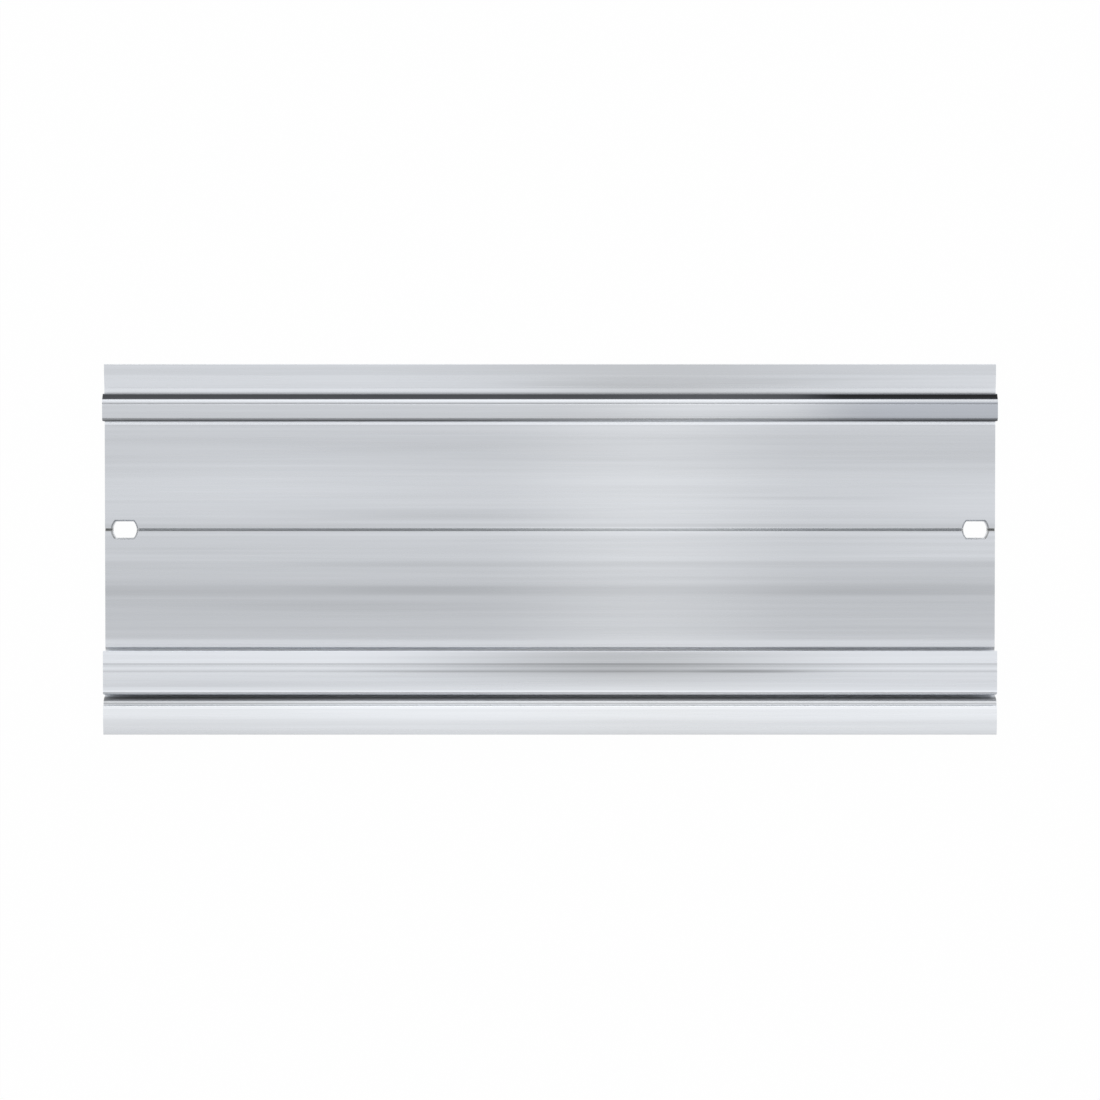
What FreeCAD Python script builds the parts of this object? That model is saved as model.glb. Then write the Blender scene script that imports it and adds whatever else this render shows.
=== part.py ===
import FreeCAD, Part
import math
import os
import Sketcher

# Aluminium mounting rail, one extruded piece cut to length. It lies on its back:
# X runs along the rail, Y across it with the hook lip at the +Y side, Z out of the front.
# The origin is the middle of the back.

# Driving dimensions in millimetres
SIZES = {
    "long": 373.0,  # cut length
    "wide": 154.7,  # across, edge to edge
    "plate": 4.0,  # thickness of the open field
    "soft": 0.2,  # small edge round left by the die
    "inner": 1.0,  # round inside the channels
    "foot": 0.5,  # fillet where a web stands on the plate
    # thicker border above the hook and the slope down to the field
    "border_wide": 4.6,
    "border_rise": 1.6,
    "slope_wide": 5.4,
    "slope_fall": 1.0,
    # hook lip that modules hang on
    "hook_drop": 12.45,  # upper edge to the nose of the lip
    "hook_reach": 8.3,  # nose to the web, behind the lip
    "hook_web": 3.1,
    "hook_rise": 7.5,  # front of the lip above the field
    "hook_skin": 2.6,
    "nose_run": 2.45,  # width of the slanting nose, seen from the front
    "nose_face": 0.5,
    "nose_tip": 0.45,
    "nose_top": 0.3,
    "bevel_run": 0.95,  # flat bevel between the nose and the front of the lip
    "bevel_fall": 0.3,
    "brow": 1.7,
    # top-hat part along the lower side
    "hat_wide": 35.0,  # over both free lips
    "hat_rise": 7.5,
    "hat_skin": 2.8,
    "hat_free": 7.0,  # free width of each lip
    "hat_web": 3.0,
    "strip_wide": 18.4,
    "strip_round": 1.6,
    "seat_lead": 1.1,  # slanting lead into the gap behind the upper lip
    "seat_deep": 0.5,
    # channel between the strip and the lower rib
    "mouth_wide": 2.2,
    "flank_run": 2.1,
    "flank_rise": 5.8,
    "flank_round": 2.0,
    "ledge_wide": 2.05,
    "ledge_rise": 0.25,
    "step_rise": 1.05,
    "edge_round": 0.9,  # upper edge of the rib
    "crown": 34.0,  # radius of the rounded rib
    "rib_fall": 0.5,  # lower edge of the rib under its upper edge
    # V grooves that mark the front: along the middle of the fixing slots, along the lip
    # and twice along the strip
    "mark_wide": 1.3,
    "mark_deep": 1.1,
    "crease_wide": 0.5,
    "crease_deep": 0.15,
    "crease_back": 4.3,  # from the nose of the lip
    "line_wide": 0.6,
    "line_deep": 0.05,
    "line_first": 5.8,  # from the edge of the upper lip
    "line_pitch": 2.9,
    # relief on the back
    "relief_deep": 0.8,
    "relief_margin": 12.0,
    "relief_upper": 30.0,
    "relief_lower": 32.0,
    # fixing slots, round holes narrowed by two flats
    "slot_long": 10.2,
    "slot_high": 6.9,
    "slot_inset": 8.15,
    "slot_up": 8.15,
    "slot_bevel": 0.65,
}

doc = FreeCAD.newDocument("rail")
sheet = doc.addObject("Spreadsheet::Sheet", "Sheet")
for row, (alias, value) in enumerate(SIZES.items(), start=1):
    sheet.set("A%d" % row, alias)
    sheet.set("B%d" % row, str(value))
    sheet.setAlias("B%d" % row, alias)
doc.recompute()

body = doc.addObject("PartDesign::Body", "rail_body")
body.Label = "mounting_rail"


def named(text):
    """Expression text in which each word that is a size becomes its cell."""
    words = text.split()
    return " ".join("Sheet." + word if word in SIZES else word for word in words)


def sketch_on(role, name):
    """New sketch on one of the body's own origin planes."""
    sketch = body.newObject("Sketcher::SketchObject", name)
    plane = [item for item in body.Origin.OriginFeatures if item.Role == role][0]
    sketch.AttachmentSupport = [(plane, "")]
    sketch.MapMode = "FlatFace"
    doc.recompute()
    return sketch


def value_of(text):
    """Present value of an expression in millimetres."""
    return float(body.evalExpression(named(text)))


def held(kind, shape, point, text):
    """Signed distance of a sketch point from the origin, with the text that drives it."""
    return Sketcher.Constraint(kind, -1, 1, shape, point, value_of(text)), text


def drive(sketch, links, driven):
    """Add plain constraints, then those that the sheet drives."""
    sketch.addConstraint(links + [constraint for constraint, _ in driven])
    first = sketch.ConstraintCount - len(driven)
    for index, (_, text) in enumerate(driven, start=first):
        sketch.setExpression("Constraints[%d]" % index, named(text))


def outline(sketch, corners, arches=None):
    """Closed outline through corners (across, up); an arch bulges on the way to its corner."""
    arches = arches or {}
    spots = [FreeCAD.Vector(value_of(y), value_of(z), 0) for y, z in corners]
    sides, links, driven = [], [], []
    for i, spot in enumerate(spots):
        side = Part.LineSegment(spots[i - 1], spot)
        if i in arches:
            chord = spot - spots[i - 1]
            radius = value_of(arches[i])
            bulge = radius - math.sqrt(radius ** 2 - chord.Length ** 2 / 4)
            outward = FreeCAD.Vector(chord.y, -chord.x, 0).normalize()
            middle = (spot + spots[i - 1]) / 2 + outward * bulge
            side = Part.Arc(spots[i - 1], middle, spot)
        sides.append(sketch.addGeometry(side, False))
    ends = []
    for i, side in enumerate(sides):
        flipped = (sketch.Geometry[side].EndPoint - spots[i]).Length > 1e-6
        ends.append((2, 1) if flipped else (1, 2))
    for i, side in enumerate(sides):
        links.append(Sketcher.Constraint("Coincident", sides[i - 1], ends[i - 1][1], side, ends[i][0]))
        driven.append(held("DistanceX", side, ends[i][1], corners[i][0]))
        driven.append(held("DistanceY", side, ends[i][1], corners[i][1]))
    for i, size in arches.items():
        driven.append((Sketcher.Constraint("Radius", sides[i], value_of(size)), size))
    drive(sketch, links, driven)


def round_off(name, size, spots):
    """Fillet the long edges that stand at these places of the section."""
    edges = []
    for across, up in spots:
        y, z = value_of(across), value_of(up)
        for number, edge in enumerate(body.Tip.Shape.Edges, start=1):
            box = edge.BoundBox
            near = abs(box.YMin - y) + abs(box.YMax - y) + abs(box.ZMin - z) + abs(box.ZMax - z)
            if near < 1e-3 and box.XLength > 1:
                edges.append("Edge%d" % number)
    if len(edges) != len(spots):
        raise RuntimeError("%s found %d of %d edges" % (name, len(edges), len(spots)))
    base = body.Tip
    fillet = body.newObject("PartDesign::Fillet", name)
    fillet.Base = (base, edges)
    fillet.setExpression("Radius", named(size))
    doc.recompute()


def extrude(name, corners, arches=None):
    """Stretch of the section padded over the cut length."""
    sketch = sketch_on("YZ_Plane", name + "_section")
    outline(sketch, corners, arches)
    pad = body.newObject("PartDesign::Pad", name)
    pad.Profile = sketch
    pad.SideType = "Symmetric"
    pad.setExpression("Length", named("long"))
    doc.recompute()


def cut_through(name, sketch):
    """Pocket through everything on both sides of its sketch."""
    pocket = body.newObject("PartDesign::Pocket", name)
    pocket.Profile = sketch
    pocket.SideType = "Symmetric"
    pocket.Type = "ThroughAll"
    doc.recompute()


# Lines across the section that several parts share
UPPER = "wide / 2"
LOWER = "- wide / 2"
NOSE = "wide / 2 - hook_drop"
WEB_BACK = NOSE + " - hook_reach"
WEB_FACE = WEB_BACK + " - hook_web"
WEB_MIDDLE = WEB_BACK + " - hook_web / 2"
FLOOR = "plate + border_rise - slope_fall"
LIP_EDGE = "- wide / 2 + hat_wide"
STEM_UP = LIP_EDGE + " - hat_free"
STEM_DOWN = STEM_UP + " - hat_web"
STRIP_END = LIP_EDGE + " - strip_wide"
SEAT = "plate - seat_deep"
HOOK = "plate + hook_rise"
HOOK_BACK = HOOK + " - hook_skin"
HAT = "plate + hat_rise"
HAT_BACK = HAT + " - hat_skin"
RIB_OUT = LOWER + " + hat_free"
FLANK = "plate + flank_rise"
LEDGE = FLANK + " + ledge_rise"
RIB = LEDGE + " + step_rise"
FLANK_TOP = STRIP_END + " - mouth_wide"
FLANK_FOOT = FLANK_TOP + " + flank_run"
LEDGE_END = FLANK_TOP + " - ledge_wide"

# Plate with its border, the slope down to the field and the lead into the lip gap
extrude("plate_pad", [
    (RIB_OUT, "0"),
    (UPPER, "0"),
    (UPPER, "plate + border_rise"),
    (UPPER + " - border_wide", "plate + border_rise"),
    (UPPER + " - border_wide - slope_wide", FLOOR),
    (WEB_MIDDLE, FLOOR),
    (WEB_MIDDLE, "plate"),
    (LIP_EDGE + " + seat_lead", "plate"),
    (LIP_EDGE + " + seat_lead / 2", SEAT),
    (STEM_UP, SEAT),
    (STEM_UP, "plate"),
    (RIB_OUT, "plate"),
])

# Hook lip: a web that stands on the plate and a lip with a slanting nose that points up
extrude("hook_pad", [
    (WEB_FACE, "plate / 2"),
    (WEB_BACK, "plate / 2"),
    (WEB_BACK, HOOK_BACK),
    (NOSE, HOOK_BACK),
    (NOSE, HOOK_BACK + " + nose_face"),
    (NOSE + " - nose_run", HOOK + " - bevel_fall"),
    (NOSE + " - nose_run - bevel_run", HOOK),
    (WEB_FACE, HOOK),
])

# Upper half of the top-hat part: free lip, web and the strip over the undercut channel
extrude("strip_pad", [
    (STEM_DOWN, "plate / 2"),
    (STEM_UP, "plate / 2"),
    (STEM_UP, HAT_BACK),
    (LIP_EDGE, HAT_BACK),
    (LIP_EDGE, HAT),
    (STRIP_END, HAT),
    (STRIP_END, HAT_BACK),
    (STEM_DOWN, HAT_BACK),
])

# Lower half: sloping flank, narrow ledge, crowned rib and the lower free lip
extrude("rib_pad", [
    (RIB_OUT, "plate / 2"),
    (FLANK_FOOT, "plate / 2"),
    (FLANK_FOOT, "plate"),
    (FLANK_TOP, FLANK),
    (LEDGE_END, LEDGE),
    (LEDGE_END, RIB),
    (LOWER, RIB + " - rib_fall"),
    (LOWER, HAT_BACK),
    (RIB_OUT, HAT_BACK),
], {6: "crown"})

# Rounds of the section, from the bold ones to the small ones left by the die
round_off("nose_tip_round", "nose_tip", [(NOSE, HOOK_BACK + " + nose_face")])
round_off("nose_top_round", "nose_top", [(NOSE + " - nose_run", HOOK + " - bevel_fall")])
round_off("brow_round", "brow", [(WEB_FACE, HOOK)])
round_off("strip_end_round", "strip_round", [(STRIP_END, HAT)])
round_off("flank_top_round", "flank_round", [(FLANK_TOP, FLANK)])
round_off("rib_edge_round", "edge_round", [(LEDGE_END, RIB)])
round_off("channel_rounds", "inner", [
    (WEB_BACK, FLOOR),
    (WEB_BACK, HOOK_BACK),
    (STEM_UP, SEAT),
    (STEM_UP, HAT_BACK),
    (STEM_DOWN, HAT_BACK),
    (RIB_OUT, HAT_BACK),
])
round_off("foot_rounds", "foot", [
    (WEB_FACE, "plate"),
    (STEM_DOWN, "plate"),
    (FLANK_FOOT, "plate"),
])
round_off("die_rounds", "soft", [
    (UPPER, "0"),
    (UPPER, "plate + border_rise"),
    (NOSE, HOOK_BACK),
    (NOSE + " - nose_run - bevel_run", HOOK),
    (LIP_EDGE + " + seat_lead", "plate"),
    (LIP_EDGE + " + seat_lead / 2", SEAT),
    (LIP_EDGE, HAT_BACK),
    (LIP_EDGE, HAT),
    (STRIP_END, HAT_BACK),
    (LEDGE_END, LEDGE),
    (LOWER, RIB + " - rib_fall"),
    (LOWER, HAT_BACK),
    (RIB_OUT, "0"),
])

# Relief on the back, which leaves three bands to rest on
relief = sketch_on("YZ_Plane", "relief_section")
for top, size in (
    (UPPER + " - relief_margin", "relief_upper"),
    ("slot_up - relief_margin", "relief_lower"),
):
    outline(relief, [
        (top + " - " + size, "- relief_deep"),
        (top, "- relief_deep"),
        (top, "relief_deep"),
        (top + " - " + size, "relief_deep"),
    ])
cut_through("relief_cut", relief)

# Fixing slots through the field, one near each end
slots = sketch_on("XY_Plane", "slot_outline")
for side in ("", "- "):
    x_text = side + "( long / 2 - slot_inset )"
    middle = FreeCAD.Vector(value_of(x_text), value_of("slot_up"), 0)
    radius = value_of("slot_long") / 2
    rise = math.asin(value_of("slot_high") / value_of("slot_long"))
    axis = FreeCAD.Vector(0, 0, 1)
    right = slots.addGeometry(
        Part.ArcOfCircle(Part.Circle(middle, axis, radius), -rise, rise), False)
    left = slots.addGeometry(
        Part.ArcOfCircle(Part.Circle(middle, axis, radius), math.pi - rise, math.pi + rise), False)
    corners = [slots.Geometry[right].EndPoint, slots.Geometry[left].StartPoint]
    upper = slots.addGeometry(Part.LineSegment(*corners), False)
    corners = [slots.Geometry[left].EndPoint, slots.Geometry[right].StartPoint]
    lower = slots.addGeometry(Part.LineSegment(*corners), False)
    links = [
        Sketcher.Constraint("Coincident", right, 2, upper, 1),
        Sketcher.Constraint("Coincident", upper, 2, left, 1),
        Sketcher.Constraint("Coincident", left, 2, lower, 1),
        Sketcher.Constraint("Coincident", lower, 2, right, 1),
        Sketcher.Constraint("Coincident", right, 3, left, 3),
        Sketcher.Constraint("Horizontal", upper),
        Sketcher.Constraint("Horizontal", lower),
        Sketcher.Constraint("Equal", right, left),
    ]
    drive(slots, links, [
        held("DistanceX", right, 3, x_text),
        held("DistanceY", right, 3, "slot_up"),
        (Sketcher.Constraint("Radius", right, radius), "slot_long / 2"),
        held("DistanceY", upper, 1, "slot_up + slot_high / 2"),
        held("DistanceY", lower, 1, "slot_up - slot_high / 2"),
    ])
cut_through("slot_cut", slots)

# Narrow bevel round the front of each slot
front = value_of("plate")
centre_x = value_of("long / 2 - slot_inset")
half = value_of("slot_long / 2") + 1e-3
rims = []
for number, edge in enumerate(body.Tip.Shape.Edges, start=1):
    box = edge.BoundBox
    flat = abs(box.ZMin - front) + abs(box.ZMax - front) < 1e-3
    if flat and all(abs(abs(x) - centre_x) < half for x in (box.XMin, box.XMax)):
        rims.append("Edge%d" % number)
base = body.Tip
bevel = body.newObject("PartDesign::Chamfer", "slot_bevel")
bevel.Base = (base, rims)
bevel.setExpression("Size", named("slot_bevel"))
doc.recompute()

# V grooves along the field, the hook lip and the strip
marks = sketch_on("YZ_Plane", "mark_section")
for centre, face, width, deep in (
    ("slot_up", "plate", "mark_wide", "mark_deep"),
    (NOSE + " - crease_back", HOOK, "crease_wide", "crease_deep"),
    (LIP_EDGE + " - line_first", HAT, "line_wide", "line_deep"),
    (LIP_EDGE + " - line_first - line_pitch", HAT, "line_wide", "line_deep"),
):
    outline(marks, [
        (centre + " - " + width, face + " + " + deep),
        (centre, face + " - " + deep),
        (centre + " + " + width, face + " + " + deep),
    ])
cut_through("mark_cut", marks)

# Check every object, then write the solid
for item in doc.Objects:
    if "Invalid" in item.State or "Error" in item.State:
        raise RuntimeError("feature %s did not build: %s" % (item.Name, item.State))
shape = body.Shape
if shape.isNull() or not shape.isValid() or len(shape.Solids) != 1:
    raise RuntimeError("the rail is not one valid solid")
os.makedirs("parts", exist_ok=True)
shape.exportStep("parts/%s.step" % body.Label)
print("solids", len(shape.Solids), "faces", len(shape.Faces), "volume", round(shape.Volume, 1))
print("box", shape.BoundBox)
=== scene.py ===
import math

import bpy
import numpy as np
from mathutils import Matrix, Vector


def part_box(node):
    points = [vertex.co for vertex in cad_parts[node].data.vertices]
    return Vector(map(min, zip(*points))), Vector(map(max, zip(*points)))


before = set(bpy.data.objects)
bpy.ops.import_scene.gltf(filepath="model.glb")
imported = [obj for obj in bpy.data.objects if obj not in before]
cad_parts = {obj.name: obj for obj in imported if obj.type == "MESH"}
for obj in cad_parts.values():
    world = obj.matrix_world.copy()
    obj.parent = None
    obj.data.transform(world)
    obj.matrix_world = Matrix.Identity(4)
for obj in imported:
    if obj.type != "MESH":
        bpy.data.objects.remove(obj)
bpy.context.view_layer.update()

MM = 0.001
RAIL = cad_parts["mounting_rail"]
LOW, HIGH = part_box("mounting_rail")

# Lines across the rail in millimetres, measured from its upper and lower edges
UPPER = HIGH[1] / MM
LOWER = LOW[1] / MM
CREASE = UPPER - 4.6  # border meets slope
NOSE = UPPER - 12.45  # tip of the hook lip
NOSE_TOP = NOSE - 2.45  # slanting nose meets the front of the lip
WEB = NOSE - 11.4  # front of the web under the hook lip
GROOVE = 8.15  # groove through the middle of the end slots
LIP_EDGE = LOWER + 35.0  # upper free lip of the top-hat strip
STRIP_END = LIP_EDGE - 18.4
FLANK = STRIP_END - 2.2  # top of the sloping flank
RIB_EDGE = FLANK - 2.05

# Heights above the back, and the middle of a slot along the rail, in millimetres
FRONT = HIGH[2] / MM
PLATE = FRONT - 7.5  # front of the field
SLOT = HIGH[0] / MM - 8.15

METAL = (0.60, 0.62, 0.653)
BRIGHTEST = 1.5  # most painted light that any place gets, as a share of the metal's own colour
WHITE = (1.0, 1.0, 1.0, 1.0)
PAPER = (0.86, 0.86, 0.86, 1.0)

# Painted highlights and shade on the parts of the section: lower and upper limit across the rail,
# softness of both limits, and the amount that is added to a brightness of 1
SECTION_LIGHT_AND_SHADE = (
    (CREASE, UPPER + 1.0, 0.3, 0.05),
    (NOSE, CREASE, 0.3, 0.17),
    (NOSE + 0.8, NOSE + 2.8, 0.6, 0.10),
    (NOSE + 2.1, NOSE + 2.7, 0.15, -0.06),
    (NOSE - 0.3, NOSE + 0.9, 0.15, -0.14),
    (NOSE - 0.3, NOSE + 0.45, 0.1, -0.26),
    (NOSE_TOP - 1.0, NOSE_TOP, 0.1, -0.12),
    (NOSE_TOP - 2.6, NOSE_TOP - 1.6, 0.4, 0.06),
    (NOSE - 4.7, NOSE - 4.25, 0.12, -0.15),
    (WEB, WEB + 4.0, 1.0, -0.03),
    (WEB - 1.4, WEB + 0.1, 0.25, 0.45),
    (LIP_EDGE + 0.6, LIP_EDGE + 4.2, 0.7, 0.12),
    (LIP_EDGE, LIP_EDGE + 0.4, 0.1, -0.30),
    (LIP_EDGE - 5.1, LIP_EDGE + 0.2, 0.2, 0.28),
    (LIP_EDGE - 5.8, LIP_EDGE - 5.1, 0.3, -0.04),
    (LIP_EDGE - 8.9, LIP_EDGE - 5.8, 0.4, 0.18),
    (LIP_EDGE - 6.5, LIP_EDGE - 5.9, 0.15, -0.08),
    (LIP_EDGE - 7.6, LIP_EDGE - 6.9, 0.2, 0.07),
    (LIP_EDGE - 9.0, LIP_EDGE - 8.1, 0.25, -0.15),
    (STRIP_END + 1.9, LIP_EDGE - 8.9, 0.4, 0.15),
    (LIP_EDGE - 10.2, LIP_EDGE - 9.0, 0.4, 0.05),
    (STRIP_END + 1.9, STRIP_END + 3.2, 0.4, 0.05),
    (STRIP_END - 1.0, STRIP_END + 1.9, 0.5, 0.42),
    (STRIP_END + 0.8, STRIP_END + 1.4, 0.15, 0.10),
    (FLANK - 0.68, FLANK + 0.2, 0.2, -0.33),
    (RIB_EDGE + 0.15, RIB_EDGE + 0.9, 0.15, -0.11),
    (RIB_EDGE - 0.3, RIB_EDGE + 0.2, 0.15, 0.20),
    (LOWER - 1.0, RIB_EDGE, 0.2, 0.24),
    (RIB_EDGE - 0.7, RIB_EDGE - 0.4, 0.12, -0.28),
    (RIB_EDGE - 1.6, RIB_EDGE - 0.7, 0.2, 0.14),
    (LOWER + 6.5, RIB_EDGE - 0.7, 2.0, 0.16),
    (LOWER + 1.8, LOWER + 3.8, 0.5, 0.04),
)
# Bands that the die drew on the field over the whole length, in the same form
BANDS = (
    (49.8, 51.8, 0.6, 0.05),
    (36.5, 47.0, 2.0, -0.05),
    (12.5, 31.0, 4.0, 0.05),
    (8.8, 10.6, 0.6, -0.07),
    (5.4, 7.0, 0.6, 0.05),
    (-3.6, -2.0, 0.8, 0.03),
    (-7.6, -5.0, 0.8, -0.08),
    (-14.6, -9.8, 1.4, 0.05),
    (-19.4, -15.4, 0.9, -0.07),
    (-33.0, -9.0, 5.0, -0.12),
    (-31.0, -25.5, 1.6, 0.02),
    (-37.8, -32.0, 1.0, -0.05),
)
# Painted reflections, lens-shaped: centre and reach along the rail, then the same four values
PAINTED_REFLECTIONS = (
    (40.0, 75.0, LIP_EDGE + 1.0, WEB, 0.5, 0.13),
    (45.0, 135.0, NOSE, UPPER + 1.0, 0.3, -0.13),
    (42.0, 75.0, NOSE + 1.2, CREASE - 0.6, 0.8, -0.11),
    (95.0, 50.0, NOSE + 4.0, NOSE + 6.5, 0.8, -0.07),
    (5.0, 50.0, NOSE + 3.6, NOSE + 5.2, 0.5, -0.06),
    (125.0, 65.0, NOSE + 5.6, NOSE + 6.8, 0.4, -0.07),
    (172.0, 68.0, NOSE, NOSE + 0.45, 0.1, -0.28),
    (165.0, 60.0, NOSE_TOP - 1.0, NOSE_TOP + 0.2, 0.15, -0.14),
    (80.0, 125.0, WEB + 0.9, WEB + 1.9, 0.25, -0.12),
    (185.0, 60.0, WEB - 0.3, WEB + 1.0, 0.2, -0.22),
    (35.0, 75.0, WEB - 1.4, WEB + 0.1, 0.3, 0.15),
    (64.0, 80.0, WEB - 0.5, WEB + 0.4, 0.2, 0.25),
    (50.0, 95.0, WEB + 0.3, WEB + 1.4, 0.3, 0.25),
    (-130.0, 110.0, 20.0, 46.0, 5.0, 0.05),
    (-45.0, 98.0, 12.3, 16.6, 0.8, -0.10),
    (102.0, 65.0, 20.7, 21.9, 0.4, -0.08),
    (190.0, 65.0, 12.0, 26.0, 3.0, 0.05),
    (180.0, 75.0, -4.0, 7.2, 1.5, 0.07),
    (-130.0, 80.0, -7.4, -4.8, 0.8, 0.05),
    (75.0, 80.0, 8.8, 10.4, 0.5, -0.04),
    (45.0, 130.0, 7.0, 9.2, 0.3, 0.15),
    (-150.0, 70.0, -2.5, 0.5, 0.8, -0.05),
    (-58.0, 65.0, -19.2, -15.6, 0.9, -0.06),
    (128.0, 70.0, -19.6, -16.6, 0.9, -0.05),
    (145.0, 90.0, -16.0, -9.0, 2.0, -0.04),
    (-80.0, 110.0, -26.0, -21.5, 1.2, -0.05),
    (35.0, 80.0, LIP_EDGE + 0.6, LIP_EDGE + 4.2, 0.7, -0.09),
    (24.0, 90.0, LIP_EDGE + 0.25, LIP_EDGE + 1.2, 0.15, 0.80),
    (27.0, 125.0, -52.5, LIP_EDGE, 1.5, -0.38),
    (27.0, 125.0, -56.0, -52.5, 1.5, -0.12),
    (40.0, 110.0, LIP_EDGE - 8.8, LIP_EDGE - 5.4, 0.5, -0.05),
    (-52.0, 55.0, LIP_EDGE - 9.0, LIP_EDGE - 8.0, 0.3, -0.12),
    (86.0, 38.0, LIP_EDGE - 9.2, LIP_EDGE - 7.8, 0.3, -0.20),
    (-145.0, 90.0, -57.6, -54.6, 0.5, -0.07),
    (50.0, 150.0, STRIP_END - 1.0, STRIP_END + 1.5, 0.3, 0.30),
    (70.0, 190.0, STRIP_END - 0.5, STRIP_END + 0.5, 0.2, 0.20),
    (-165.0, 120.0, RIB_EDGE + 0.1, FLANK + 0.3, 0.2, -0.12),
    (-170.0, 130.0, LOWER, RIB_EDGE, 0.5, -0.06),
)


class Wire:
    """A value inside a node tree; arithmetic on it adds Math nodes."""

    def __init__(self, finish, socket):
        self.finish, self.socket = finish, socket

    def beside(self, name):
        """Another output of the same node."""
        return Wire(self.finish, self.socket.node.outputs[name])

    def __add__(self, other):
        return self.finish.reckon("ADD", self, other)

    __radd__ = __add__

    def __sub__(self, other):
        return self.finish.reckon("SUBTRACT", self, other)

    def __rsub__(self, other):
        return self.finish.reckon("SUBTRACT", other, self)

    def __mul__(self, other):
        return self.finish.reckon("MULTIPLY", self, other)

    __rmul__ = __mul__

    def __truediv__(self, other):
        return self.finish.reckon("DIVIDE", self, other)


class Finish:
    """The node tree of a material or of the surroundings, under construction."""

    def __init__(self, owner):
        owner.use_nodes = True
        self.owner = owner
        self.nodes = owner.node_tree.nodes
        self.links = owner.node_tree.links
        self.nodes.clear()

    def node(self, kind, settings=None, sockets=None, output=0):
        """Add a node, set its settings, then fill its sockets with values or wires."""
        node = self.nodes.new(kind)
        for name, value in (settings or {}).items():
            setattr(node, name, value)
        for key, value in (sockets or {}).items():
            if isinstance(value, Wire):
                self.links.new(value.socket, node.inputs[key])
            else:
                node.inputs[key].default_value = value
        return Wire(self, node.outputs[output]) if node.outputs else None

    def reckon(self, operation, *values):
        """Result of a Math node on these values."""
        return self.node("ShaderNodeMath", {"operation": operation}, dict(enumerate(values)))

    def ramp(self, value, low, high):
        """Smooth change from 0 at low to 1 at high; low may be the larger of the two."""
        return self.node(
            "ShaderNodeMapRange", {"interpolation_type": "SMOOTHSTEP"},
            {"Value": value, "From Min": low, "From Max": high})

    def band(self, value, low, high, soft):
        """1 between low and high, with a smooth change of width 2 soft over each limit."""
        half = (high - low) / 2
        away = self.reckon("ABSOLUTE", value - (low + half))
        return self.ramp(away, half + soft, half - soft)

    def hump(self, value, centre, reach):
        """1 at the centre, falling smoothly to 0 at reach on both sides."""
        return self.band(value, centre - reach / 2, centre + reach / 2, reach / 2)

    def drawn_noise(self, place, stretch, scale, detail):
        """Noise about 0, drawn out along the rail: stretch is its scale along X."""
        where = self.node(
            "ShaderNodeMapping", {"vector_type": "POINT"},
            {"Vector": place, "Scale": (stretch, 1.0, 1.0)})
        noise = self.node(
            "ShaderNodeTexNoise", {"noise_dimensions": "3D"},
            {"Vector": where, "Scale": scale, "Detail": detail, "Roughness": 0.55})
        return noise - 0.5


def painted_sheen(finish, x, y):
    """Painted highlights, shade and reflections: between the parts of the section and along the rail."""
    total = 1.0
    for low, high, soft, amount in SECTION_LIGHT_AND_SHADE + BANDS:
        total = total + finish.band(y, low, high, soft) * amount
    for centre, reach, low, high, soft, amount in PAINTED_REFLECTIONS:
        total = total + finish.hump(x, centre, reach) * finish.band(y, low, high, soft) * amount
    # painted highlight in the middle of the hook lip, painted shade on its right and in the seat on the
    # right
    lip = finish.band(y, WEB, NOSE_TOP - 1.0, 0.3)
    total = total + lip * (finish.hump(x, 60.0, 60.0) * 0.12 - finish.ramp(x, 95.0, 135.0) * 0.21)
    seat = finish.band(y, LIP_EDGE - 0.1, LIP_EDGE + 1.5, 0.3)
    return total - seat * finish.ramp(x, 75.0, 120.0) * 0.22


def nose(finish, x, y, z, right):
    """Slanting nose of the hook lip, painted as the darkest shade: light lost, how matt it is, how cool.
    """
    face = finish.band(y, NOSE_TOP + 0.1, NOSE - 0.19, 0.16) * finish.ramp(z, FRONT - 3.2, FRONT - 2.9)
    top = finish.band(y, NOSE_TOP - 0.5, NOSE_TOP + 0.8, 0.2)
    shade_amount = face * (0.91 + right * 0.073 - finish.hump(x, 68.0, 60.0) * 0.045 - top * 0.025)
    return shade_amount, face * (0.6 - right * 0.25), face * (1.0 + right)


def web(finish, x, y, z, right):
    """Front of the web under the hook lip, with painted shade that is darkest near the lip: light lost,
    how matt it is.
    """
    near_lip = finish.band(z, FRONT - 2.3, FRONT - 0.6, 0.5)
    up = finish.band(z, PLATE + 0.4, FRONT - 0.6, 0.3) * 0.45 + near_lip * 0.55
    along = 0.88 + right * 0.06 + finish.ramp(x, 135.0, 187.0) * 0.06
    along = along - finish.hump(x, 50.0, 95.0) * 0.84 - finish.hump(x, -25.0, 60.0) * 0.08
    shade_amount = up * finish.band(y, WEB - 0.3, WEB + 0.7, 0.2) * along
    return shade_amount, shade_amount * 0.6


def screw_channel(finish, x, y, z):
    """Channel between strip and rib: painted shade on its walls, how matt they are, and painted light on
    its foot.
    """
    across = finish.band(y, FLANK - 0.1, FLANK + 2.4, 0.3)
    deep = across * finish.band(z, PLATE - 0.4, PLATE + 5.4, 0.2)
    left = finish.ramp(x, -60.0, -185.0) * finish.band(z, PLATE + 1.2, PLATE + 5.4, 0.3)
    wall = finish.band(z, PLATE + 3.0, PLATE + 4.9, 0.4) * (0.44 + finish.ramp(x, 120.0, 190.0) * 0.12)
    painted_foot_light = across * finish.ramp(z, PLATE + 1.4, PLATE + 0.4)
    return across * (wall + left * 0.22), deep * 0.7 + painted_foot_light * 0.25, painted_foot_light * 0.3


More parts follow.
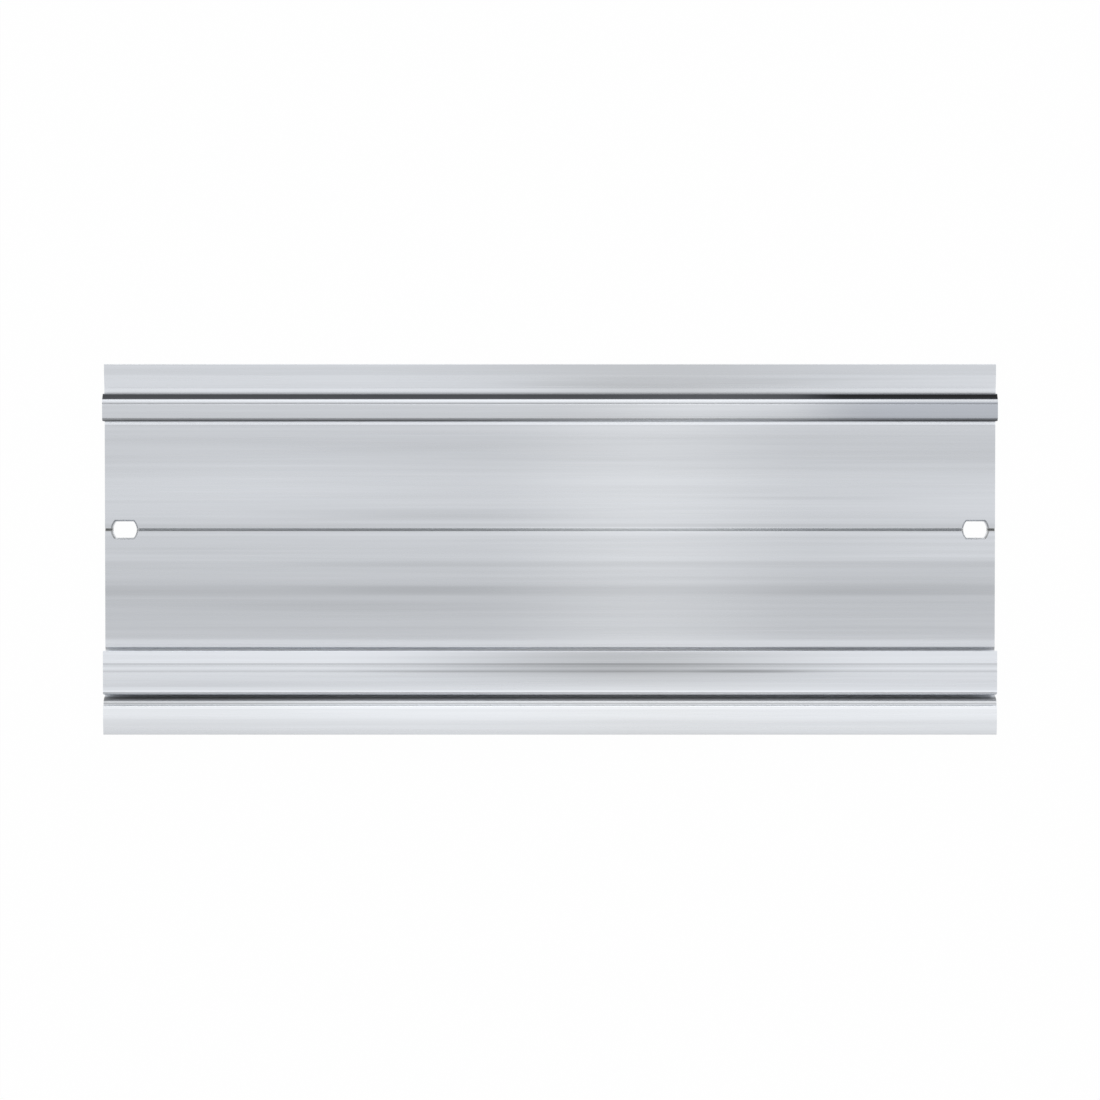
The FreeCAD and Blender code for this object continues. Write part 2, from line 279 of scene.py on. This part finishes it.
def slots(finish, y, z, far):
    """Painted highlight on the rims of the end slots, and painted shade in the groove beyond them."""
    rim_highlight = finish.ramp(far, SLOT - 6.35, SLOT - 5.35) * finish.band(y, GROOVE - 4.15, GROOVE + 4.15, 0.1)
    rim_highlight = rim_highlight * finish.band(z, PLATE - 1.0, PLATE - 0.05, 0.03)
    less = finish.ramp(y, GROOVE - 2.65, GROOVE + 1.85) * 0.38
    least = finish.ramp(y, GROOVE + 3.15, GROOVE + 3.45) * 0.20
    groove_shade = finish.ramp(far, SLOT + 3.15, SLOT + 4.65) * finish.ramp(z, PLATE - 0.1, PLATE - 0.4)
    return rim_highlight * (0.55 - less - least), groove_shade * 0.42


def lip_edge(finish, y, z):
    """Edge of the upper free lip: painted highlight on its front part, painted shade on what lies
    behind.
    """
    face = finish.band(y, LIP_EDGE - 0.1, LIP_EDGE + 0.1, 0.02)
    front = finish.band(z, FRONT - 2.7, FRONT - 0.15, 0.1)
    behind = finish.band(z, PLATE - 0.5, PLATE + 4.6, 0.3)
    return face * (front * 0.75 - behind * 0.2)


def aluminium():
    """Mill-finish aluminium: satin, pale blue-grey, with fine lines along the rail; highlights, shade
    and reflections are painted into its colour.
    """
    finish = Finish(bpy.data.materials.new("mill_finish_aluminium"))
    place = finish.node("ShaderNodeTexCoord", output="Object")
    parts = finish.node("ShaderNodeSeparateXYZ", None, {"Vector": place})
    x, y, z = (parts.beside(axis) / MM for axis in "XYZ")
    far = finish.reckon("ABSOLUTE", x)
    right = finish.ramp(x, 98.0, 122.0)  # where the painted shade on the hook lip is deeper

    # Lines that the die drew, from broad bands to hair lines
    broad = finish.drawn_noise(place, 0.02, 160.0, 2.0)
    streaks = finish.drawn_noise(place, 0.01, 700.0, 3.0)
    hair = finish.drawn_noise(place, 0.006, 2400.0, 2.0)
    lines = 1.0 + broad * 0.09 + streaks * 0.17 + hair * 0.02

    # Painted shade on the nose, the web and the walls of the screw channel, which are also rougher
    # there, and painted highlights, shade and reflections everywhere
    nose_shade, nose_matt, nose_cool = nose(finish, x, y, z, right)
    web_shade, web_matt = web(finish, x, y, z, right)
    channel_shade, channel_matt, painted_foot_light = screw_channel(finish, x, y, z)
    painted_shade = nose_shade + web_shade + channel_shade
    mark = finish.band(y, GROOVE - 0.65, GROOVE + 0.65, 0.1)
    rim_highlight, groove_shade = slots(finish, y, z, far)
    light = painted_sheen(finish, x, y) + rim_highlight - mark * groove_shade + lip_edge(finish, y, z) + painted_foot_light
    light = finish.reckon("MINIMUM", light, BRIGHTEST)

    # Tint: bluer in the nose and on the right of the lip, plainer in the narrow places
    seat = finish.band(y, LIP_EDGE - 0.1, LIP_EDGE + 1.2, 0.2)
    rib = finish.band(y, LOWER - 1.0, FLANK, 0.2)
    plain = mark * 0.35 + seat * 0.15 + rib * 0.15 + rim_highlight + finish.hump(x, 40.0, 80.0) * 0.12
    lip = finish.band(y, WEB, NOSE_TOP - 1.0, 0.3) * finish.ramp(x, 95.0, 145.0)
    cool = nose_cool + lip * 0.5 - plain
    red, green, blue = METAL
    colour = finish.node("ShaderNodeCombineColor", None, {
        "Red": red - cool * 0.02, "Green": green, "Blue": blue + cool * 0.05})
    # the painted light and the painted shade scale the colour, together with the die's lines
    colour = finish.node(
        "ShaderNodeVectorMath", {"operation": "SCALE"},
        {0: colour, "Scale": lines * light * (1.0 - painted_shade)})

    round_edge = finish.band(y, STRIP_END - 0.2, STRIP_END + 1.0, 0.2) * finish.hump(x, 60.0, 190.0)
    matt = nose_matt + web_matt + channel_matt + round_edge * 0.5
    bump = finish.node("ShaderNodeBump", None, {
        "Strength": 0.2, "Distance": 0.0001, "Height": streaks * 0.6 + hair * 0.25})
    shader = finish.node("ShaderNodeBsdfPrincipled", None, {
        "Base Color": colour, "Metallic": 1.0 - matt,
        "Roughness": 0.28 + streaks * 0.10 + painted_shade * 0.2, "Normal": bump})
    finish.node("ShaderNodeOutputMaterial", None, {"Surface": shader})
    return finish.owner


def studio_paper():
    """White paper; what looks at it directly or in a reflection sees it white."""
    finish = Finish(bpy.data.materials.new("studio_paper"))
    paper = finish.node("ShaderNodeBsdfDiffuse", None, {"Color": PAPER})
    glow = finish.node("ShaderNodeEmission", None, {"Color": WHITE, "Strength": 1.0})
    rays = finish.node("ShaderNodeLightPath", output="Is Camera Ray")
    seen = rays + rays.beside("Is Glossy Ray") + rays.beside("Is Transmission Ray")
    mixed = finish.node("ShaderNodeMixShader", None, {0: seen * 0.985, 1: paper, 2: glow})
    finish.node("ShaderNodeOutputMaterial", None, {"Surface": mixed})
    return finish.owner


def floor():
    """Flat square grid over x and y, at one height just under the rail's back."""
    size, level = 6.0, -0.0003
    side = np.linspace(-size / 2, size / 2, 2)
    x, y = np.meshgrid(side, side, indexing="ij")
    points = np.stack([x, y, np.full_like(x, level)], axis=-1).reshape(-1, 3)
    mesh = bpy.data.meshes.new("studio_floor")
    mesh.from_pydata(points.tolist(), [], [(0, 2, 3, 1)])
    mesh.materials.append(studio_paper())
    sheet = bpy.data.objects.new("studio_floor", mesh)
    bpy.context.scene.collection.objects.link(sheet)


def surroundings():
    """Plain pale light from all round, which the camera itself sees as white."""
    finish = Finish(bpy.data.worlds.new("studio"))
    light = finish.node("ShaderNodeBackground", None, {"Color": WHITE, "Strength": 0.40})
    white = finish.node("ShaderNodeBackground", None, {"Color": WHITE, "Strength": 1.0})
    seen = finish.node("ShaderNodeLightPath", output="Is Camera Ray")
    mixed = finish.node("ShaderNodeMixShader", None, {0: seen, 1: light, 2: white})
    finish.node("ShaderNodeOutputWorld", None, {"Surface": mixed})
    bpy.context.scene.world = finish.owner


def lamp(name, place, aim, size, radiance):
    """Square soft lamp; its face looks as bright as radiance says."""
    light = bpy.data.lights.new(name, "AREA")
    light.shape = "SQUARE"
    light.size = size
    light.energy = radiance * math.pi * size * size
    holder = bpy.data.objects.new(name, light)
    holder.location = place
    holder.rotation_euler = (Vector(aim) - Vector(place)).to_track_quat("-Z", "Y").to_euler()
    holder.visible_camera = False
    bpy.context.scene.collection.objects.link(holder)


def camera():
    """Camera above the rail, looking almost straight down, with X to the right."""
    lens = bpy.data.cameras.new("camera")
    lens.sensor_width = 36.0
    lens.lens = 101.52
    holder = bpy.data.objects.new("camera", lens)
    place = Vector((0.0, 0.0278, 1.304))
    aim = Vector((0.0, -0.0004, 0.004))
    back = (place - aim).normalized()
    right = Vector((1.0, 0.0, 0.0))
    turn = Matrix((right, back.cross(right), back)).transposed()
    holder.matrix_world = Matrix.Translation(place) @ turn.to_4x4()
    bpy.context.scene.collection.objects.link(holder)
    bpy.context.scene.camera = holder


def studio():
    """Pale surroundings, a paper floor, soft lamps above the rail and the camera."""
    bpy.context.scene.view_settings.view_transform = "Standard"
    floor()
    surroundings()
    lamp("overhead", (0.0, 0.35, 1.7), (0.0, 0.35, 0.0), 3.0, 0.58)
    lamp("upper_side", (0.0, 1.7, 1.7), (0.0, 0.0, 0.0), 1.6, 0.9)
    lamp("low_side", (0.0, 2.2, 0.65), (0.0, 0.0, 0.0), 1.2, 0.9)
    camera()


metal = aluminium()
for slot in RAIL.material_slots:
    slot.material = metal
studio()
